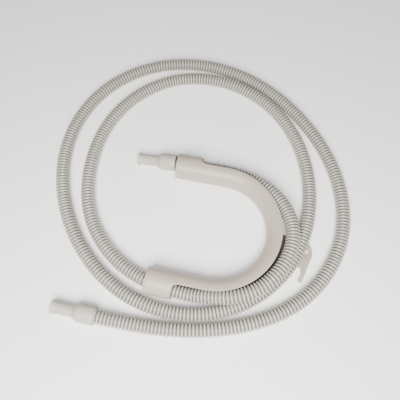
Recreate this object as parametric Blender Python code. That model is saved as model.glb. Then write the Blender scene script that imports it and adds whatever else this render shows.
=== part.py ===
"""Drain hose of a dryer or washer, lying in two loose turns with a U-bend guide on its end.

Four pieces: the hose, the moulded guide that turns its end over a rim, and a rubber cuff on
each end. Lengths are in millimetres and become metres where a mesh or curve is made. +Z is
up, the floor is z = 0, the guide's two legs lie along X and its bend points to +X.
"""
import math

import bmesh
import bpy
import numpy as np
from mathutils import Vector

MM = 0.001
FIT_GAP = 0.35

# Hose
HOSE_DIAMETER = 19.0
HOSE_IN_CUFF = 20.2
TUBE_STEP = 42.0
TUBE_FINE_STEP = 20.0

# Where the hose's centre line runs, from the long end's cuff to the guide end's cuff
ROUTE = [
    (-104.1, -209.8, 12.0), (-86, -210, 12.05), (-43, -209.5, 10.1), (18.8, -204.2, 9.9),
    (91, -184.1, 9.9), (163.8, -134.2, 9.9), (202, -54.7, 9.9), (192, 41.5, 9.9),
    (144.4, 121.2, 9.9), (69.2, 184, 9.9), (-23, 212, 9.9), (-115.4, 191.8, 9.9),
    (-182.2, 126.1, 9.9), (-204.4, 36.5, 9.9), (-183.9, -53, 9.9), (-127, -132.5, 9.9),
    (-43, -180, 9.9), (38.5, -180.7, 9.9), (97, -151.8, 10.2), (142.4, -91.7, 12.9),
    (156, -35.5, 12.0), (154.3, 20.5, 9.9), (114.5, 116.5, 9.9), (29, 178.5, 9.9),
    (-72.7, 173.7, 9.9), (-144.2, 99.9, 9.9), (-158.8, -4.4, 9.9), (-122, -98.5, 10.2),
    (-41, -152.3, 12.3), (1, -157.4, 12.9), (36, -160.4, 18.6), (71.3, -157.4, 26.9),
    (103.6, -140, 30.3), (129.5, -105.5, 32.6), (137.5, -65.5, 31.4), (122, -21.9, 25.5),
    (73, 13.7, 19.5), (11, 20.4, 16.9), (-39, 19.6, 15.1), (-57, 19.4, 13.15),
]
# The tube's points are closer together up to this point of the route, by the cuff, and from
# that one on, through the guide
LAST_POINT_BY_CUFF = 2
FIRST_POINT_IN_GUIDE = 28

# Guide
GUIDE_CENTRE = (38.0, -70.0)
GUIDE_BEND_RADIUS = 84.5
GUIDE_LEG_LENGTH = 71.5
GUIDE_OUTER_DIAMETER = 35.4
GUIDE_WALL = 2.0
COLLAR_LENGTH = 34.0
LIP_ANGLE = 85.5
OPENING_CORNER = 8.0
BEND_STEPS = 36
SECTION_STEPS = 22
COLLAR_FRONT_STEPS = 10

# Cuffs, measured from the mouth along the axis
CUFF_LIP_LENGTH = 1.2
CUFF_FLARE_LENGTH = 5.5
CUFF_NECK_LENGTH = 27.5
CUFF_CONE_LENGTH = 7.0
CUFF_BODY_LENGTH = 21.7
CUFF_TAPER_LENGTH = 3.0
CUFF_MOUTH_DIAMETER = 18.4
CUFF_NECK_DIAMETER = 15.4
CUFF_BODY_DIAMETER = 23.6
CUFF_REAR_DIAMETER = 21.8
CUFF_BORE = 12.0
CUFF_EDGE = 0.7
CUFF_SIDES = 32

# Hook, moulded on the crest of the bend. Each corner is given by how far it lies beyond the
# bend's centre line, how far it lies to the far side of the crest, and its rounding.
HOOK_THICKNESS = 2.6
HOOK_UNDERSIDE = 0.2
HOOK_ROOT_OVERLAP = 1.0
HOOK_ROOT_FAR = 19.0
HOOK_ROOT_NEAR = -19.0
HOOK_CORNERS = [
    (42.5, 11.5, 8.0),
    (47.5, -2.0, 14.0),
    (36.9, -44.0, 2.4),
    (31.1, -42.0, 1.6),
    (35.1, -30.5, 5.0),
    (31.6, -20.5, 5.0),
]
HOOK_HOLE_DIAMETER = 6.0
HOOK_HOLE_BEYOND = 38.5
HOOK_HOLE_SIDE = -0.5

# Colours and finish: hose, guide and cuffs
HOSE_LOOK = ((0.62, 0.60, 0.56), 0.48)
GUIDE_LOOK = ((0.60, 0.58, 0.545), 0.42)
CUFF_LOOK = ((0.56, 0.54, 0.505), 0.55)


def clear_scene():
    """Removes what the scene holds, so that a second run gives the same result."""
    for old in list(bpy.data.objects):
        bpy.data.objects.remove(old, do_unlink=True)


def make_material(name, look):
    """A plastic or rubber with the part's colour and roughness."""
    colour, roughness = look
    material = bpy.data.materials.new(name)
    material.use_nodes = True
    shader = material.node_tree.nodes["Principled BSDF"]
    shader.inputs["Base Color"].default_value = (*colour, 1.0)
    shader.inputs["Roughness"].default_value = roughness
    shader.inputs["Metallic"].default_value = 0.0
    return material


def add_object(name, data, material=None):
    """Links a mesh or curve to the scene as a named object."""
    piece = bpy.data.objects.new(name, data)
    bpy.context.scene.collection.objects.link(piece)
    if material:
        data.materials.append(material)
    return piece


def mesh_from(name, bm, closed=True, smooth_angle=40.0):
    """Turns a bmesh into a mesh that is smooth but for its sharp edges."""
    if closed:
        bmesh.ops.recalc_face_normals(bm, faces=bm.faces)
    mesh = bpy.data.meshes.new(name)
    bm.to_mesh(mesh)
    bm.free()
    mesh.shade_smooth()
    mesh.set_sharp_from_angle(angle=math.radians(smooth_angle))
    return mesh


def smooth_route(points, fine_step=2.0):
    """A natural cubic spline through the points, as closely spaced points along it."""
    knots = np.array(points, dtype=float)
    spans = np.linalg.norm(np.diff(knots, axis=0), axis=1)
    count = len(knots)
    system = np.eye(count)
    sides = np.zeros((count, 3))
    for i in range(1, count - 1):
        before, after = spans[i - 1], spans[i]
        system[i, i - 1:i + 2] = before, 2 * (before + after), after
        sides[i] = 6 * ((knots[i + 1] - knots[i]) / after - (knots[i] - knots[i - 1]) / before)
    bend = np.linalg.solve(system, sides)
    line = []
    for i, span in enumerate(spans):
        steps = max(1, math.ceil(span / fine_step))
        for k in range(steps):
            ahead = span * k / steps
            left = span - ahead
            curved = (bend[i] * left**3 + bend[i + 1] * ahead**3) / (6 * span)
            from_start = (knots[i] / span - bend[i] * span / 6) * left
            from_end = (knots[i + 1] / span - bend[i + 1] * span / 6) * ahead
            line.append(curved + from_start + from_end)
    line.append(knots[-1])
    return np.array(line)


def spaced_points(line, step):
    """Points about one step apart along the line, with both its ends."""
    lengths = np.concatenate([[0.0], np.cumsum(np.linalg.norm(np.diff(line, axis=0), axis=1))])
    count = max(2, round(lengths[-1] / step) + 1)
    places = np.linspace(0.0, lengths[-1], count)
    return [np.array([np.interp(place, lengths, line[:, k]) for k in range(3)]) for place in places]


def hose_centre_line():
    """The tube's own points: two diameters apart, and one apart by the cuffs and guide."""
    line = smooth_route(ROUTE)
    splits = [0]
    for turn in (LAST_POINT_BY_CUFF, FIRST_POINT_IN_GUIDE):
        splits.append(int(np.argmin(np.linalg.norm(line - np.array(ROUTE[turn]), axis=1))))
    splits.append(len(line) - 1)
    points = [line[0]]
    steps = (TUBE_FINE_STEP, TUBE_STEP, TUBE_FINE_STEP)
    for start, end, step in zip(splits, splits[1:], steps):
        points += spaced_points(line[start:end + 1], step)[1:]
    return points


def make_hose():
    """The hose as a plain round tube with closed ends, along its whole route."""
    curve = bpy.data.curves.new("drain_hose", "CURVE")
    curve.dimensions = "3D"
    curve.bevel_depth = HOSE_DIAMETER / 2 * MM
    curve.bevel_resolution = 4
    curve.use_fill_caps = True
    points = hose_centre_line()
    spline = curve.splines.new("POLY")
    spline.points.add(len(points) - 1)
    for point, place in zip(spline.points, points):
        point.co = (*(place * MM), 1.0)
    return add_object("drain_hose", curve, make_material("hose_plastic", HOSE_LOOK))


def guide_station(along):
    """A point of the guide's centre line in plan and the direction out of the bend there."""
    centre = Vector((*GUIDE_CENTRE, 0.0))
    bend_length = math.pi * GUIDE_BEND_RADIUS
    if along <= GUIDE_LEG_LENGTH:
        outward = Vector((0.0, 1.0, 0.0))
        back = GUIDE_LEG_LENGTH - along
    elif along <= GUIDE_LEG_LENGTH + bend_length:
        turned = (along - GUIDE_LEG_LENGTH) / GUIDE_BEND_RADIUS
        outward = Vector((math.sin(turned), math.cos(turned), 0.0))
        back = 0.0
    else:
        outward = Vector((0.0, -1.0, 0.0))
        back = along - GUIDE_LEG_LENGTH - bend_length
    return centre + outward * GUIDE_BEND_RADIUS - Vector((back, 0.0, 0.0)), outward


def guide_stations():
    """Each section's place along the guide, its lip angle, and whether a collar closes it."""
    radius = GUIDE_OUTER_DIAMETER / 2
    corner_steps = 5
    corner_angle = math.degrees(OPENING_CORNER / radius)
    first_half = [(0.0, LIP_ANGLE - corner_angle, True)]
    for i in range(corner_steps + 1):
        turn = math.pi / 2 * i / corner_steps
        along = COLLAR_LENGTH + OPENING_CORNER * (1 - math.cos(turn))
        lip = LIP_ANGLE - corner_angle * (1 - math.sin(turn))
        first_half.append((along, lip, i == 0))
    bend_length = math.pi * GUIDE_BEND_RADIUS
    bend = []
    for i in range(BEND_STEPS + 1):
        bend.append((GUIDE_LEG_LENGTH + bend_length * i / BEND_STEPS, LIP_ANGLE, False))
    whole = 2 * GUIDE_LEG_LENGTH + bend_length
    second_half = [(whole - along, lip, closed) for along, lip, closed in reversed(first_half)]
    return first_half + bend + second_half


def section_point(along, angle):
    """A point of the guide's outer surface; the angle runs from outward, over the top."""
    radius = GUIDE_OUTER_DIAMETER / 2
    place, outward = guide_station(along)
    turn = math.radians(angle)
    height = radius + radius * math.sin(turn)
    return (place + outward * radius * math.cos(turn) + Vector((0.0, 0.0, height))) * MM


def guide_shell():
    """The guide's outer skin: a half pipe open outward between two closed collars."""
    bm = bmesh.new()
    stations = guide_stations()
    backs = []
    fronts = []
    for along, lip, closed in stations:
        back = []
        for i in range(SECTION_STEPS + 1):
            angle = lip + (360.0 - 2 * lip) * i / SECTION_STEPS
            back.append(bm.verts.new(section_point(along, angle)))
        front = None
        if closed:
            front = [back[-1]]
            for i in range(1, COLLAR_FRONT_STEPS):
                angle = -lip + 2 * lip * i / COLLAR_FRONT_STEPS
                front.append(bm.verts.new(section_point(along, angle)))
            front.append(back[0])
        backs.append(back)
        fronts.append(front)
    for rows in (backs, fronts):
        for row, next_row in zip(rows, rows[1:]):
            if row is None or next_row is None:
                continue
            for a, b, c, d in zip(row, row[1:], next_row[1:], next_row):
                bm.faces.new((a, b, c, d))
    return mesh_from("bend_guide", bm, closed=False)


def rounded_outline(corners, steps=6):
    """An outline whose corners are arcs; each corner is (x, y, radius), and 0 keeps it sharp."""
    outline = []
    for i, (x, y, radius) in enumerate(corners):
        corner = Vector((x, y))
        if radius == 0:
            outline.append(corner)
            continue
        before = (Vector(corners[i - 1][:2]) - corner).normalized()
        after = (Vector(corners[(i + 1) % len(corners)][:2]) - corner).normalized()
        half = before.angle(after) / 2
        middle = corner + (before + after).normalized() * radius / math.sin(half)
        start = corner + before * radius / math.tan(half) - middle
        end = corner + after * radius / math.tan(half) - middle
        first = math.atan2(start.y, start.x)
        sweep = math.remainder(math.atan2(end.y, end.x) - first, math.tau)
        for k in range(steps + 1):
            turn = first + sweep * k / steps
            outline.append(middle + radius * Vector((math.cos(turn), math.sin(turn))))
    return outline


def hook_outline():
    """The hook's outline in plan, with its root sunk a little into the guide's lower lip."""
    centre = Vector(GUIDE_CENTRE)
    root = GUIDE_BEND_RADIUS - HOOK_ROOT_OVERLAP
    far_turn = math.asin(HOOK_ROOT_FAR / root)
    near_turn = math.asin(HOOK_ROOT_NEAR / root)
    root_steps = 8
    root_arc = []
    for i in range(root_steps + 1):
        turn = near_turn + (far_turn - near_turn) * i / root_steps
        root_arc.append(centre + root * Vector((math.cos(turn), math.sin(turn))))
    corners = [(*root_arc[-1], 0.0)]
    for beyond, side, radius in HOOK_CORNERS:
        corners.append((centre.x + GUIDE_BEND_RADIUS + beyond, centre.y + side, radius))
    corners.append((*root_arc[0], 0.0))
    return rounded_outline(corners) + root_arc[1:-1]


def hide_helper(piece):
    """Marks a body that only shapes another one."""
    piece.hide_render = True
    piece.display_type = "WIRE"
    return piece


def make_hook_plate():
    """The flat hook, which is joined to the guide."""
    bm = bmesh.new()
    verts = [bm.verts.new((x * MM, y * MM, HOOK_UNDERSIDE * MM)) for x, y in hook_outline()]
    face = bm.faces.new(verts)
    raised = bmesh.ops.extrude_face_region(bm, geom=[face])
    lifted = [item for item in raised["geom"] if isinstance(item, bmesh.types.BMVert)]
    bmesh.ops.translate(bm, verts=lifted, vec=(0.0, 0.0, HOOK_THICKNESS * MM))
    return hide_helper(add_object("hook_plate", mesh_from("hook_plate", bm)))


def make_hook_hole():
    """The cutter of the hook's fixing hole."""
    bm = bmesh.new()
    radius = HOOK_HOLE_DIAMETER / 2 * MM
    depth = 4 * HOOK_THICKNESS * MM
    bmesh.ops.create_cone(bm, cap_ends=True, segments=24, radius1=radius, radius2=radius, depth=depth)
    cutter = hide_helper(add_object("hook_hole", mesh_from("hook_hole", bm)))
    centre_x, centre_y = GUIDE_CENTRE
    cutter.location.x = (centre_x + GUIDE_BEND_RADIUS + HOOK_HOLE_BEYOND) * MM
    cutter.location.y = (centre_y + HOOK_HOLE_SIDE) * MM
    return cutter


def add_boolean(piece, helper, operation):
    """Joins a helper body to a piece, or cuts it away."""
    boolean = piece.modifiers.new(helper.name, "BOOLEAN")
    boolean.object = helper
    boolean.operation = operation
    boolean.solver = "EXACT"


def make_guide():
    """The moulded guide: skin, wall thickness, hook and the hook's hole."""
    guide = add_object("bend_guide", guide_shell(), make_material("guide_plastic", GUIDE_LOOK))
    wall = guide.modifiers.new("wall", "SOLIDIFY")
    wall.thickness = GUIDE_WALL * MM
    wall.offset = -1.0
    wall.use_even_offset = True
    add_boolean(guide, make_hook_plate(), "UNION")
    add_boolean(guide, make_hook_hole(), "DIFFERENCE")
    return guide


def cuff_profile():
    """The cuff's half section as (distance from the mouth, radius), a closed outline."""
    mouth = CUFF_MOUTH_DIAMETER / 2
    neck = CUFF_NECK_DIAMETER / 2
    body = CUFF_BODY_DIAMETER / 2
    bore = CUFF_BORE / 2
    socket = HOSE_DIAMETER / 2 + FIT_GAP
    neck_end = CUFF_NECK_LENGTH
    body_start = neck_end + CUFF_CONE_LENGTH
    rear = body_start + CUFF_BODY_LENGTH
    stop = rear - HOSE_IN_CUFF - FIT_GAP
    corners = [
        (0.0, mouth, 0.5),
        (CUFF_LIP_LENGTH, mouth, 0.4),
        (CUFF_FLARE_LENGTH, neck, 4.0),
        (neck_end, neck, 3.0),
        (body_start, body, 3.0),
        (rear - CUFF_TAPER_LENGTH, body, 3.0),
        (rear, CUFF_REAR_DIAMETER / 2, CUFF_EDGE),
        (rear, socket, 0.3),
        (stop, socket, 0.0),
        (stop, bore, 0.0),
        (0.0, bore, 0.5),
    ]
    return rounded_outline(corners, steps=2)


def make_cuff(name, hose_end, hose_inner, material):
    """A rubber cuff turned about its axis, with the hose's end in its socket."""
    bm = bmesh.new()
    ring = [bm.verts.new((x * MM, 0.0, r * MM)) for x, r in cuff_profile()]
    edges = [bm.edges.new(pair) for pair in zip(ring, ring[1:] + ring[:1])]
    bmesh.ops.spin(
        bm, geom=ring + edges, cent=(0.0, 0.0, 0.0), axis=(1.0, 0.0, 0.0),
        angle=math.tau, steps=CUFF_SIDES, use_merge=True,
    )
    cuff = add_object(name, mesh_from(name, bm), material)
    inward = (Vector(hose_inner) - Vector(hose_end)).normalized()
    rear = CUFF_NECK_LENGTH + CUFF_CONE_LENGTH + CUFF_BODY_LENGTH
    mouth = Vector(hose_end) - inward * (rear - HOSE_IN_CUFF)
    cuff.location = mouth * MM
    cuff.rotation_mode = "QUATERNION"
    cuff.rotation_quaternion = inward.to_track_quat("X", "Z")
    return cuff


def main():
    clear_scene()
    make_hose()
    make_guide()
    rubber = make_material("cuff_rubber", CUFF_LOOK)
    make_cuff("long_end_cuff", ROUTE[0], ROUTE[1], rubber)
    make_cuff("guide_end_cuff", ROUTE[-1], ROUTE[-2], rubber)


main()
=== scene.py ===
"""Looks of the drain hose: ribbed hose, moulded bend guide and soft cuffs, on a pale floor.

Sizes are in millimetres, and become metres where a mesh is made. Angles are in degrees.
The main sizes and the route are those of the CAD model, which the frame holds. Two places
follow the photograph more closely: the route between the near collar and the bend, and the
hook's near root.
"""

import math

import bmesh
import bpy
import numpy as np
from mathutils import Matrix, Vector


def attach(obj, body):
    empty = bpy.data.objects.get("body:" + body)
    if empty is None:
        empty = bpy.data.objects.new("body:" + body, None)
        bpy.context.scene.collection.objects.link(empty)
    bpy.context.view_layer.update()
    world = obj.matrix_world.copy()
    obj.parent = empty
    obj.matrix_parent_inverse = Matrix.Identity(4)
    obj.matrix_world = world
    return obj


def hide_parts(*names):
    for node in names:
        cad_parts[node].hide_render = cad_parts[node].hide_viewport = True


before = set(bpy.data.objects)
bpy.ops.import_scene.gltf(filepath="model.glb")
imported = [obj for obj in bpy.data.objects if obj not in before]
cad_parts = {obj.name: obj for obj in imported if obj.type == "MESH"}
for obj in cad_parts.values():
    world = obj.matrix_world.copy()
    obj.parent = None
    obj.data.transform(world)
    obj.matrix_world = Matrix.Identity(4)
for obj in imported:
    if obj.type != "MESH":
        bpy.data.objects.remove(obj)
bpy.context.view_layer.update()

MM = 0.001

# Camera, fitted to the photograph
CAMERA_PLACE = (62.75, -271.8, 531.9)
CAMERA_PITCH = 64.43
CAMERA_TURN = 12.7
CAMERA_ROLL = -0.62
FOCAL_PIXELS = 416.1
FRAME_PIXELS = 400.0
SENSOR_WIDTH = 36.0
NEAREST_SEEN = 10.0

# Hose
HOSE_DIAMETER = 19.0
HOSE_IN_CUFF = 20.2
RIDGE_PITCH = 4.5
RIDGE_DEPTH = 2.0
HOSE_WALL = 0.8
HOSE_SIDES = 24
BORE_STEP = 20.0
BORE_SHADE_SHARE = 0.5
PLAIN_END = 26.0
ROUTE = [
    (-104.1, -209.8, 12.0), (-86, -210, 12.05), (-43, -209.5, 10.1), (18.8, -204.2, 9.9),
    (91, -184.1, 9.9), (163.8, -134.2, 9.9), (202, -54.7, 9.9), (192, 41.5, 9.9),
    (144.4, 121.2, 9.9), (69.2, 184, 9.9), (-23, 212, 9.9), (-115.4, 191.8, 9.9),
    (-182.2, 126.1, 9.9), (-204.4, 36.5, 9.9), (-183.9, -53, 9.9), (-127, -132.5, 9.9),
    (-43, -180, 9.9), (38.5, -180.7, 9.9), (97, -151.8, 10.2), (142.4, -91.7, 12.9),
    (156, -35.5, 12.0), (154.3, 20.5, 9.9), (114.5, 116.5, 9.9), (29, 178.5, 9.9),
    (-72.7, 173.7, 9.9), (-144.2, 99.9, 9.9), (-158.8, -4.4, 9.9), (-122, -98.5, 10.2),
    (-41, -152.3, 12.3), (-6, -158.7, 14.1), (22, -160.8, 16.1), (47, -159.3, 21.2),
    (71.3, -155.9, 26.9), (103.6, -140, 30.3), (129.5, -105.5, 32.6), (137.5, -65.5, 31.4),
    (122, -21.9, 25.5), (73, 13.7, 19.5), (11, 20.4, 16.9), (-39, 19.6, 15.1),
    (-57, 19.4, 13.15),
]
# One ridge: place along the pitch and share of the ridge's depth that is left there
RIDGE_SHAPE = [(0.0, 0.0), (0.12, 0.04), (0.25, 0.82), (0.50, 1.0), (0.75, 0.82), (0.88, 0.04)]

# Guide
GUIDE_CENTRE = (38.0, -70.0)
GUIDE_BEND_RADIUS = 84.5
GUIDE_LEG_LENGTH = 71.5
GUIDE_OUTER_DIAMETER = 35.4
GUIDE_WALL = 2.0
COLLAR_LENGTH = 34.0
LIP_ANGLE = 85.5
OPENING_CORNER = 8.0
GUIDE_STEP = 3.0
COLLAR_STEPS = 10
CORNER_STEPS = 10
SECTION_STEPS = 40
COLLAR_FRONT_STEPS = 24
GUIDE_EDGE = 0.35
GUIDE_EDGE_ANGLE = 50.0
GUIDE_SMOOTH_ANGLE = 40.0

# Hook
HOOK_THICKNESS = 2.6
HOOK_UNDERSIDE = 0.2
HOOK_ROOT_OVERLAP = 1.0
HOOK_ROOT_FAR = 19.0
HOOK_ROOT_NEAR = -38.0
HOOK_ROOT_STEPS = 16
# Each corner: how far beyond the bend, how far to the side, and its radius
HOOK_CORNERS = [
    (42.5, 11.5, 8.0),
    (47.5, -2.0, 14.0),
    (36.9, -44.0, 2.4),
    (31.1, -42.0, 1.6),
    (35.1, -30.5, 5.0),
    (31.6, -20.5, 5.0),
]
HOOK_HOLE_DIAMETER = 6.0
HOOK_HOLE_BEYOND = 38.5
HOOK_HOLE_SIDE = -0.5
HOOK_HOLE_FACETS = 48

# Cuffs, measured from the mouth along the axis
CUFF_LIP_LENGTH = 1.2
CUFF_FLARE_LENGTH = 5.5
CUFF_NECK_LENGTH = 27.5
CUFF_CONE_LENGTH = 7.0
CUFF_BODY_LENGTH = 21.7
CUFF_LENGTH = CUFF_NECK_LENGTH + CUFF_CONE_LENGTH + CUFF_BODY_LENGTH
CUFF_TAPER_LENGTH = 3.0
CUFF_MOUTH_DIAMETER = 18.4
CUFF_NECK_DIAMETER = 15.4
CUFF_BODY_DIAMETER = 23.6
CUFF_REAR_DIAMETER = 21.8
CUFF_BORE = 12.0
CUFF_EDGE = 0.7
CUFF_SIDES = 96
FIT_GAP = 0.35

# Materials: colour, its darker clouds, roughness, scale of the grain, strength of its relief
HOSE_PLASTIC = ((0.46, 0.423, 0.364), (0.42, 0.388, 0.334), 0.34, 900.0, 0.15)
# Painted shade: the dark colour painted into the hose's valleys, on its plain end and, at half
# strength, in its bore
HOSE_GROOVE_SHADE_COLOUR = (0.10, 0.096, 0.089)
GUIDE_PLASTIC = ((0.435, 0.374, 0.312), (0.405, 0.35, 0.293), 0.40, 1400.0, 0.12)
# Painted shade: the dark colour painted on the guide's inside and on the hook's root under the hose
GUIDE_INSIDE_SHADE_COLOUR = (0.16, 0.136, 0.116)
CUFF_RUBBER = ((0.46, 0.425, 0.365), (0.43, 0.40, 0.345), 0.5, 1100.0, 0.2)
CLOUD_SCALE = 28.0
CLOUD_DARK_BELOW = 0.35
CLOUD_LIGHT_ABOVE = 0.65
RELIEF_DEPTH = 0.2
GLOSS_BELOW = 0.06
GLOSS_ABOVE = 0.08
# Painted shade on the hook's root: below this height and within this reach of the bend's line
ROOT_SHADE_HEIGHT = 4.0
ROOT_SHADE_REACH = 16.0

# Floor and light, in metres
FLOOR_HALF = 3.0
FLOOR_COLOUR = (0.93, 0.93, 0.93, 1.0)
FLOOR_ROUGHNESS = 0.9
FLOOR_GLOW = 0.35
KEY_PLACE = (0.08, -0.60, 0.70)
KEY_SIZE = 0.45
KEY_POWER = 25.0
KEY_COLOUR = (1.0, 0.985, 0.955)
WORLD_COLOUR = (0.96, 0.98, 1.0, 1.0)
WORLD_STRENGTH = 0.3


def add_piece(name, data, material, stands_for=()):
    """Links a piece of the object, dresses it and lets it ride on the part's one body."""
    piece = bpy.data.objects.new(name, data)
    bpy.context.scene.collection.objects.link(piece)
    data.materials.append(material)
    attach(piece, "root")
    if stands_for:
        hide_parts(*stands_for)
    return piece


def mesh_from(name, bm, closed=True, smooth_angle=35.0):
    """Turns a bmesh into a mesh that is smooth but for its sharp edges."""
    if closed:
        bmesh.ops.recalc_face_normals(bm, faces=bm.faces)
    mesh = bpy.data.meshes.new(name)
    bm.to_mesh(mesh)
    bm.free()
    mesh.shade_smooth()
    mesh.set_sharp_from_angle(angle=math.radians(smooth_angle))
    return mesh


def make_camera():
    """The camera, as fitted to the photograph."""
    data = bpy.data.cameras.new("camera")
    data.sensor_width = SENSOR_WIDTH
    data.lens = SENSOR_WIDTH * FOCAL_PIXELS / FRAME_PIXELS
    data.clip_start = NEAREST_SEEN * MM
    camera = bpy.data.objects.new("camera", data)
    bpy.context.scene.collection.objects.link(camera)
    turn = Matrix.Rotation(math.radians(CAMERA_TURN), 4, "Z")
    tilt = Matrix.Rotation(math.radians(90.0 - CAMERA_PITCH), 4, "X")
    roll = Matrix.Rotation(math.radians(CAMERA_ROLL), 4, "Z")
    place = Matrix.Translation(Vector(CAMERA_PLACE) * MM)
    camera.matrix_world = place @ turn @ tilt @ roll
    bpy.context.scene.camera = camera


def smooth_route(points, fine_step=1.0):
    """A natural cubic spline through the points, as closely spaced points along it."""
    knots = np.array(points, dtype=float)
    spans = np.linalg.norm(np.diff(knots, axis=0), axis=1)
    count = len(knots)
    system = np.eye(count)
    targets = np.zeros((count, 3))
    for i in range(1, count - 1):
        before, after = spans[i - 1], spans[i]
        system[i, i - 1:i + 2] = before, 2 * (before + after), after
        targets[i] = 6 * ((knots[i + 1] - knots[i]) / after - (knots[i] - knots[i - 1]) / before)
    bend = np.linalg.solve(system, targets)
    line = []
    for i, span in enumerate(spans):
        steps = max(1, math.ceil(span / fine_step))
        for k in range(steps):
            ahead = span * k / steps
            left = span - ahead
            curved = (bend[i] * left**3 + bend[i + 1] * ahead**3) / (6 * span)
            from_start = (knots[i] / span - bend[i] * span / 6) * left
            from_end = (knots[i + 1] / span - bend[i + 1] * span / 6) * ahead
            line.append(curved + from_start + from_end)
    line.append(knots[-1])
    return np.array(line)


class Line:
    """The hose's centre line, which gives a place and two side directions anywhere on it."""

    def __init__(self, points):
        self.points = points
        steps = np.linalg.norm(np.diff(points, axis=0), axis=1)
        self.lengths = np.concatenate([[0.0], np.cumsum(steps)])
        self.length = self.lengths[-1]
        self.tangents = np.gradient(points, self.lengths, axis=0)

    def at(self, along):
        """The place at a length along the line, with the level side and the upper side there."""
        place = np.array([np.interp(along, self.lengths, self.points[:, k]) for k in range(3)])
        ahead = np.array([np.interp(along, self.lengths, self.tangents[:, k]) for k in range(3)])
        ahead /= np.linalg.norm(ahead)
        side = np.cross(ahead, (0.0, 0.0, 1.0))
        side /= np.linalg.norm(side)
        return place, side, np.cross(side, ahead)


def ring(bm, line, along, radius):
    """A ring of vertices round the line."""
    place, side, up = line.at(along)
    verts = []
    for i in range(HOSE_SIDES):
        turn = math.tau * i / HOSE_SIDES
        point = place + radius * (math.cos(turn) * side + math.sin(turn) * up)
        verts.append(bm.verts.new(point * MM))
    return verts


def join_rings(bm, rings):
    """Faces between each ring and the next, and from the last back to the first."""
    for ring_a, ring_b in zip(rings, rings[1:] + rings[:1]):
        for i in range(len(ring_a)):
            j = (i + 1) % len(ring_a)
            bm.faces.new((ring_a[i], ring_a[j], ring_b[j], ring_b[i]))


def make_hose(material):
    """The ribbed hose: ring ridges outside and a plain bore inside, open at both ends."""
    line = Line(smooth_route(ROUTE))
    bm = bmesh.new()
    crest = HOSE_DIAMETER / 2
    valley = crest - RIDGE_DEPTH
    bore = valley - HOSE_WALL
    ridges = round(line.length / RIDGE_PITCH)
    pitch = line.length / ridges
    rings = []
    shade_shares = []
    for i in range(ridges):
        for share, left in RIDGE_SHAPE:
            # The plain end has no ridges and is painted fully in shade
            if (i + 1) * pitch > line.length - PLAIN_END:
                left = 0.0
            rings.append(ring(bm, line, (i + share) * pitch, valley + RIDGE_DEPTH * left))
            shade_shares.append(1.0 - left)
    rings.append(ring(bm, line, line.length, valley))
    shade_shares.append(1.0)
    bore_steps = round(line.length / BORE_STEP)
    for i in range(bore_steps + 1):
        rings.append(ring(bm, line, line.length * (1 - i / bore_steps), bore))
        # The bore is painted in shade at this share
        shade_shares.append(BORE_SHADE_SHARE)
    join_rings(bm, rings)
    mesh = mesh_from("hose", bm, smooth_angle=80.0)
    # Painted shade: each ring's share of the groove shade colour, kept on the mesh for the material
    groove_shade = mesh.attributes.new("groove_shade", "FLOAT", "POINT")
    groove_shade.data.foreach_set("value", [share for share in shade_shares for _ in range(HOSE_SIDES)])
    hose = add_piece("ribbed_hose", mesh, material, ["drain_hose"])
    centre = [line.at(along)[0] * MM for along in np.arange(0.0, line.length, RIDGE_PITCH)]
    centre.append(line.points[-1] * MM)
    return hose


def guide_station(along):
    """A point of the guide's centre line in plan and the direction out of the bend there."""
    centre = Vector((*GUIDE_CENTRE, 0.0))
    bend_length = math.pi * GUIDE_BEND_RADIUS
    if along <= GUIDE_LEG_LENGTH:
        outward = Vector((0.0, 1.0, 0.0))
        back = GUIDE_LEG_LENGTH - along
    elif along <= GUIDE_LEG_LENGTH + bend_length:
        turned = (along - GUIDE_LEG_LENGTH) / GUIDE_BEND_RADIUS
        outward = Vector((math.sin(turned), math.cos(turned), 0.0))
        back = 0.0
    else:
        outward = Vector((0.0, -1.0, 0.0))
        back = along - GUIDE_LEG_LENGTH - bend_length
    return centre + outward * GUIDE_BEND_RADIUS - Vector((back, 0.0, 0.0)), outward


def guide_stations():
    """Each section's place along the guide, its lip angle, and whether a collar closes it."""
    radius = GUIDE_OUTER_DIAMETER / 2
    corner_angle = math.degrees(OPENING_CORNER / radius)
    closed_lip = LIP_ANGLE - corner_angle
    first_half = []
    for i in range(COLLAR_STEPS):
        first_half.append((COLLAR_LENGTH * i / COLLAR_STEPS, closed_lip, True))
    for i in range(CORNER_STEPS + 1):
        turn = math.pi / 2 * i / CORNER_STEPS
        along = COLLAR_LENGTH + OPENING_CORNER * (1 - math.cos(turn))
        lip = LIP_ANGLE - corner_angle * (1 - math.sin(turn))
        first_half.append((along, lip, i == 0))
    start = COLLAR_LENGTH + OPENING_CORNER
    whole = 2 * GUIDE_LEG_LENGTH + math.pi * GUIDE_BEND_RADIUS
    open_steps = round((whole - 2 * start) / GUIDE_STEP)
    middle = []
    for i in range(1, open_steps):
        middle.append((start + (whole - 2 * start) * i / open_steps, LIP_ANGLE, False))
    second_half = [(whole - along, lip, closed) for along, lip, closed in reversed(first_half)]
    return first_half + middle + second_half


def section_point(along, angle):
    """A point of the guide's outer surface; the angle runs from outward, over the top."""
    radius = GUIDE_OUTER_DIAMETER / 2
    place, outward = guide_station(along)
    turn = math.radians(angle)
    height = radius + radius * math.sin(turn)
    return (place + outward * radius * math.cos(turn) + Vector((0.0, 0.0, height))) * MM


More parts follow.
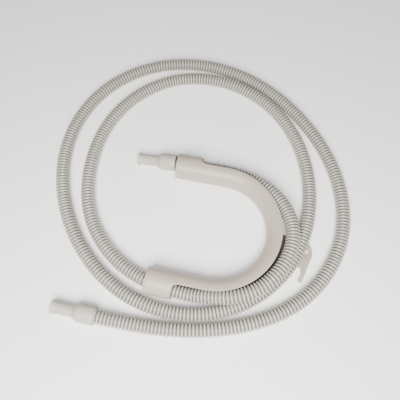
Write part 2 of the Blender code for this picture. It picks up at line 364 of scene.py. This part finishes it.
def guide_shell():
    """The guide's outer skin: a half pipe open outward between two closed collars."""
    bm = bmesh.new()
    backs = []
    fronts = []
    for along, lip, closed in guide_stations():
        back = []
        for i in range(SECTION_STEPS + 1):
            angle = lip + (360.0 - 2 * lip) * i / SECTION_STEPS
            back.append(bm.verts.new(section_point(along, angle)))
        front = None
        if closed:
            front = [back[-1]]
            for i in range(1, COLLAR_FRONT_STEPS):
                angle = -lip + 2 * lip * i / COLLAR_FRONT_STEPS
                front.append(bm.verts.new(section_point(along, angle)))
            front.append(back[0])
        backs.append(back)
        fronts.append(front)
    for rows in (backs, fronts):
        for row, next_row in zip(rows, rows[1:]):
            if row is None or next_row is None:
                continue
            for a, b, c, d in zip(row, row[1:], next_row[1:], next_row):
                bm.faces.new((a, b, c, d))
    return mesh_from("guide", bm, closed=False)


def rounded_outline(corners, steps=10):
    """An outline whose corners are arcs; each corner is (x, y, radius), and 0 keeps it sharp."""
    outline = []
    for i, (x, y, radius) in enumerate(corners):
        corner = Vector((x, y))
        if radius == 0:
            outline.append(corner)
            continue
        before = (Vector(corners[i - 1][:2]) - corner).normalized()
        after = (Vector(corners[(i + 1) % len(corners)][:2]) - corner).normalized()
        half = before.angle(after) / 2
        middle = corner + (before + after).normalized() * radius / math.sin(half)
        start = corner + before * radius / math.tan(half) - middle
        end = corner + after * radius / math.tan(half) - middle
        first = math.atan2(start.y, start.x)
        sweep = math.remainder(math.atan2(end.y, end.x) - first, math.tau)
        for k in range(steps + 1):
            turn = first + sweep * k / steps
            outline.append(middle + radius * Vector((math.cos(turn), math.sin(turn))))
    return outline


def hook_outline():
    """The hook's outline in plan, with its root sunk a little into the guide's lower lip."""
    centre = Vector(GUIDE_CENTRE)
    root = GUIDE_BEND_RADIUS - HOOK_ROOT_OVERLAP
    far_turn = math.asin(HOOK_ROOT_FAR / root)
    near_turn = math.asin(HOOK_ROOT_NEAR / root)
    root_arc = []
    for i in range(HOOK_ROOT_STEPS + 1):
        turn = near_turn + (far_turn - near_turn) * i / HOOK_ROOT_STEPS
        root_arc.append(centre + root * Vector((math.cos(turn), math.sin(turn))))
    corners = [(*root_arc[-1], 0.0)]
    for beyond, side, radius in HOOK_CORNERS:
        corners.append((centre.x + GUIDE_BEND_RADIUS + beyond, centre.y + side, radius))
    corners.append((*root_arc[0], 0.0))
    return rounded_outline(corners) + root_arc[1:-1]


def make_hook():
    """The flat plate of the hook, which is moulded on the guide's crest."""
    bm = bmesh.new()
    verts = [bm.verts.new((x * MM, y * MM, HOOK_UNDERSIDE * MM)) for x, y in hook_outline()]
    face = bm.faces.new(verts)
    raised = bmesh.ops.extrude_face_region(bm, geom=[face])
    lifted = [item for item in raised["geom"] if isinstance(item, bmesh.types.BMVert)]
    bmesh.ops.translate(bm, verts=lifted, vec=(0.0, 0.0, HOOK_THICKNESS * MM))
    return mesh_from("hook", bm)


def make_hole_cutter():
    """The cutter of the hook's fixing hole."""
    bm = bmesh.new()
    radius = HOOK_HOLE_DIAMETER / 2 * MM
    depth = 4 * HOOK_THICKNESS * MM
    bmesh.ops.create_cone(
        bm, cap_ends=True, segments=HOOK_HOLE_FACETS, radius1=radius, radius2=radius, depth=depth
    )
    centre_x, centre_y = GUIDE_CENTRE
    beyond = GUIDE_BEND_RADIUS + HOOK_HOLE_BEYOND
    place = Vector((centre_x + beyond, centre_y + HOOK_HOLE_SIDE, 0.0))
    bmesh.ops.translate(bm, verts=bm.verts, vec=place * MM)
    return mesh_from("hook_hole", bm)


def apply_modifiers(piece):
    """Bakes the piece's modifiers into its mesh."""
    graph = bpy.context.evaluated_depsgraph_get()
    mesh = bpy.data.meshes.new_from_object(piece.evaluated_get(graph))
    piece.modifiers.clear()
    piece.data = mesh


def make_guide(material):
    """The guide as one moulding: skin, wall, hook, hole and softened edges."""
    guide = add_piece("guide", guide_shell(), material, ["bend_guide"])
    wall = guide.modifiers.new("wall", "SOLIDIFY")
    wall.thickness = GUIDE_WALL * MM
    wall.offset = -1.0
    wall.use_even_offset = True
    helpers = []
    for name, mesh, operation in (
        ("hook", make_hook(), "UNION"),
        ("hook_hole", make_hole_cutter(), "DIFFERENCE"),
    ):
        helper = bpy.data.objects.new(name, mesh)
        bpy.context.scene.collection.objects.link(helper)
        boolean = guide.modifiers.new(name, "BOOLEAN")
        boolean.object = helper
        boolean.operation = operation
        boolean.solver = "EXACT"
        helpers.append(helper)
    edge = guide.modifiers.new("edge", "BEVEL")
    edge.width = GUIDE_EDGE * MM
    edge.segments = 2
    edge.limit_method = "ANGLE"
    edge.angle_limit = math.radians(GUIDE_EDGE_ANGLE)
    apply_modifiers(guide)
    for helper in helpers:
        bpy.data.objects.remove(helper, do_unlink=True)
    guide.data.shade_smooth()
    guide.data.set_sharp_from_angle(angle=math.radians(GUIDE_SMOOTH_ANGLE))
    return guide


def cuff_profile():
    """The cuff's half section as (distance from the mouth, radius), a closed outline.

    The third number of each corner is the radius of its rounding.
    """
    mouth = CUFF_MOUTH_DIAMETER / 2
    neck = CUFF_NECK_DIAMETER / 2
    body = CUFF_BODY_DIAMETER / 2
    bore = CUFF_BORE / 2
    socket = HOSE_DIAMETER / 2 + FIT_GAP
    stop = CUFF_LENGTH - HOSE_IN_CUFF - FIT_GAP
    corners = [
        (0.0, mouth, 0.5),
        (CUFF_LIP_LENGTH, mouth, 0.4),
        (CUFF_FLARE_LENGTH, neck, 4.0),
        (CUFF_NECK_LENGTH, neck, 3.0),
        (CUFF_NECK_LENGTH + CUFF_CONE_LENGTH, body, 3.0),
        (CUFF_LENGTH - CUFF_TAPER_LENGTH, body, 3.0),
        (CUFF_LENGTH, CUFF_REAR_DIAMETER / 2, CUFF_EDGE),
        (CUFF_LENGTH, socket, 0.3),
        (stop, socket, 0.0),
        (stop, bore, 0.0),
        (0.0, bore, 0.5),
    ]
    return rounded_outline(corners, steps=8)


def make_cuff(name, hose_end, hose_inner, material, stands_for):
    """A rubber cuff turned about its axis, with the hose's end in its socket."""
    bm = bmesh.new()
    inward = (Vector(hose_inner) - Vector(hose_end)).normalized()
    mouth = Vector(hose_end) - inward * (CUFF_LENGTH - HOSE_IN_CUFF)
    place = Matrix.Translation(mouth) @ inward.to_track_quat("X", "Z").to_matrix().to_4x4()
    rings = []
    for x, radius in cuff_profile():
        verts = []
        for i in range(CUFF_SIDES):
            turn = math.tau * i / CUFF_SIDES
            point = place @ Vector((x, radius * math.cos(turn), radius * math.sin(turn)))
            verts.append(bm.verts.new(point * MM))
        rings.append(verts)
    join_rings(bm, rings)
    return add_piece(name, mesh_from(name, bm), material, [stands_for])


def shader_of(name):
    """A new material, its nodes and its shader."""
    material = bpy.data.materials.new(name)
    material.use_nodes = True
    tree = material.node_tree
    return material, tree, tree.nodes["Principled BSDF"]


def add_node(tree, kind, **values):
    """A node with its inputs and properties set by name."""
    node = tree.nodes.new(kind)
    for key, value in values.items():
        if key in node.inputs:
            node.inputs[key].default_value = value
        else:
            setattr(node, key, value)
    return node


def groove_shade_mask(tree):
    """Painted shade on the hose: how deep a point lies between its ridges, 0 on a crest and 1 in a
    valley, also 1 on the plain end and a half in the bore.
    """
    return add_node(tree, "ShaderNodeAttribute", attribute_name="groove_shade").outputs["Fac"]


def maths(tree, operation, *values):
    """A maths node whose inputs are numbers or other nodes' outputs."""
    node = add_node(tree, "ShaderNodeMath", operation=operation)
    for socket, value in zip(node.inputs, values):
        if isinstance(value, (int, float)):
            socket.default_value = value
        else:
            tree.links.new(value, socket)
    return node.outputs["Value"]


def hypotenuse(tree, side_a, side_b):
    """The long side of a right-angled triangle."""
    square_a = maths(tree, "MULTIPLY", side_a, side_a)
    square_b = maths(tree, "MULTIPLY", side_b, side_b)
    return maths(tree, "SQRT", maths(tree, "ADD", square_a, square_b))


def inside_shade_mask(tree):
    """Where shade is painted on the guide: 1 on the guide's inside and on the hook's root under the
    hose, 0 on the outside.
    """
    radius = GUIDE_OUTER_DIAMETER / 2 * MM
    middle_of_wall = radius - GUIDE_WALL / 2 * MM
    place = add_node(tree, "ShaderNodeTexCoord")
    split = add_node(tree, "ShaderNodeSeparateXYZ")
    tree.links.new(place.outputs["Object"], split.inputs["Vector"])
    past_centre = maths(tree, "SUBTRACT", split.outputs["X"], GUIDE_CENTRE[0] * MM)
    along = maths(tree, "MAXIMUM", past_centre, 0.0)
    across = maths(tree, "SUBTRACT", split.outputs["Y"], GUIDE_CENTRE[1] * MM)
    out = maths(tree, "SUBTRACT", hypotenuse(tree, along, across), GUIDE_BEND_RADIUS * MM)
    up = maths(tree, "SUBTRACT", split.outputs["Z"], radius)
    inside = maths(tree, "LESS_THAN", hypotenuse(tree, out, up), middle_of_wall)
    low = maths(tree, "LESS_THAN", split.outputs["Z"], ROOT_SHADE_HEIGHT * MM)
    near_bend = maths(tree, "LESS_THAN", maths(tree, "ABSOLUTE", out), ROOT_SHADE_REACH * MM)
    return maths(tree, "MAXIMUM", inside, maths(tree, "MULTIPLY", low, near_bend))


def moulded_material(name, colour, shade, roughness, grain_scale, strength, shade_mask=None, painted_shade_colour=None):
    """A moulded plastic or rubber: cloudy colour, a fine grain and uneven gloss.

    Where the shade mask says 1, the colour is the painted shade colour: shade painted into the
    colour.
    """
    material, tree, shader = shader_of(name)
    link = tree.links.new
    place = add_node(tree, "ShaderNodeTexCoord")
    clouds = add_node(tree, "ShaderNodeTexNoise", Scale=CLOUD_SCALE, Detail=4.0, Roughness=0.6)
    link(place.outputs["Object"], clouds.inputs["Vector"])
    tint = add_node(tree, "ShaderNodeValToRGB")
    tint.color_ramp.elements[0].position = CLOUD_DARK_BELOW
    tint.color_ramp.elements[0].color = (*shade, 1.0)
    tint.color_ramp.elements[1].position = CLOUD_LIGHT_ABOVE
    tint.color_ramp.elements[1].color = (*colour, 1.0)
    link(clouds.outputs["Fac"], tint.inputs["Fac"])
    tinted = tint.outputs["Color"]
    # Painted shade: the mask blends the colour toward the darker shade colour
    if shade_mask:
        painted_shade = add_node(tree, "ShaderNodeMixRGB", Color2=(*painted_shade_colour, 1.0))
        link(shade_mask(tree), painted_shade.inputs["Fac"])
        link(tinted, painted_shade.inputs["Color1"])
        tinted = painted_shade.outputs["Color"]
    link(tinted, shader.inputs["Base Color"])
    grain = add_node(tree, "ShaderNodeTexNoise", Scale=grain_scale, Detail=3.0)
    link(place.outputs["Object"], grain.inputs["Vector"])
    gloss = add_node(tree, "ShaderNodeMapRange")
    gloss.inputs["To Min"].default_value = roughness - GLOSS_BELOW
    gloss.inputs["To Max"].default_value = roughness + GLOSS_ABOVE
    link(grain.outputs["Fac"], gloss.inputs["Value"])
    link(gloss.outputs["Result"], shader.inputs["Roughness"])
    relief = add_node(tree, "ShaderNodeBump", Strength=strength, Distance=RELIEF_DEPTH * MM)
    link(grain.outputs["Fac"], relief.inputs["Height"])
    link(relief.outputs["Normal"], shader.inputs["Normal"])
    return material


def make_floor():
    """The pale floor that the object lies on."""
    bm = bmesh.new()
    bmesh.ops.create_grid(bm, x_segments=1, y_segments=1, size=FLOOR_HALF)
    floor = bpy.data.objects.new("floor", mesh_from("floor", bm, closed=False))
    bpy.context.scene.collection.objects.link(floor)
    material, _, shader = shader_of("floor")
    shader.inputs["Base Color"].default_value = FLOOR_COLOUR
    shader.inputs["Roughness"].default_value = FLOOR_ROUGHNESS
    shader.inputs["Emission Color"].default_value = (1.0, 1.0, 1.0, 1.0)
    shader.inputs["Emission Strength"].default_value = FLOOR_GLOW
    floor.data.materials.append(material)


def make_key_light():
    """A warm, soft, square lamp above and in front, which faces the middle of the object."""
    data = bpy.data.lights.new("key_light", "AREA")
    data.color = KEY_COLOUR
    data.size = KEY_SIZE
    data.energy = KEY_POWER
    lamp = bpy.data.objects.new("key_light", data)
    bpy.context.scene.collection.objects.link(lamp)
    lamp.location = KEY_PLACE
    lamp.rotation_euler = (-Vector(KEY_PLACE)).to_track_quat("-Z", "Y").to_euler()


def make_world():
    """An even, pale surrounding, a little cooler than the lamp."""
    world = bpy.data.worlds.new("studio")
    world.use_nodes = True
    background = world.node_tree.nodes["Background"]
    background.inputs["Color"].default_value = WORLD_COLOUR
    background.inputs["Strength"].default_value = WORLD_STRENGTH
    bpy.context.scene.world = world


make_camera()
hose_plastic = moulded_material("hose_plastic", *HOSE_PLASTIC, groove_shade_mask, HOSE_GROOVE_SHADE_COLOUR)
guide_plastic = moulded_material("guide_plastic", *GUIDE_PLASTIC, inside_shade_mask, GUIDE_INSIDE_SHADE_COLOUR)
cuff_rubber = moulded_material("cuff_rubber", *CUFF_RUBBER)
make_hose(hose_plastic)
make_guide(guide_plastic)
make_cuff("cuff_on_long_end", ROUTE[0], ROUTE[1], cuff_rubber, "long_end_cuff")
make_cuff("cuff_on_guide_end", ROUTE[-1], ROUTE[-2], cuff_rubber, "guide_end_cuff")
make_floor()
make_key_light()
make_world()
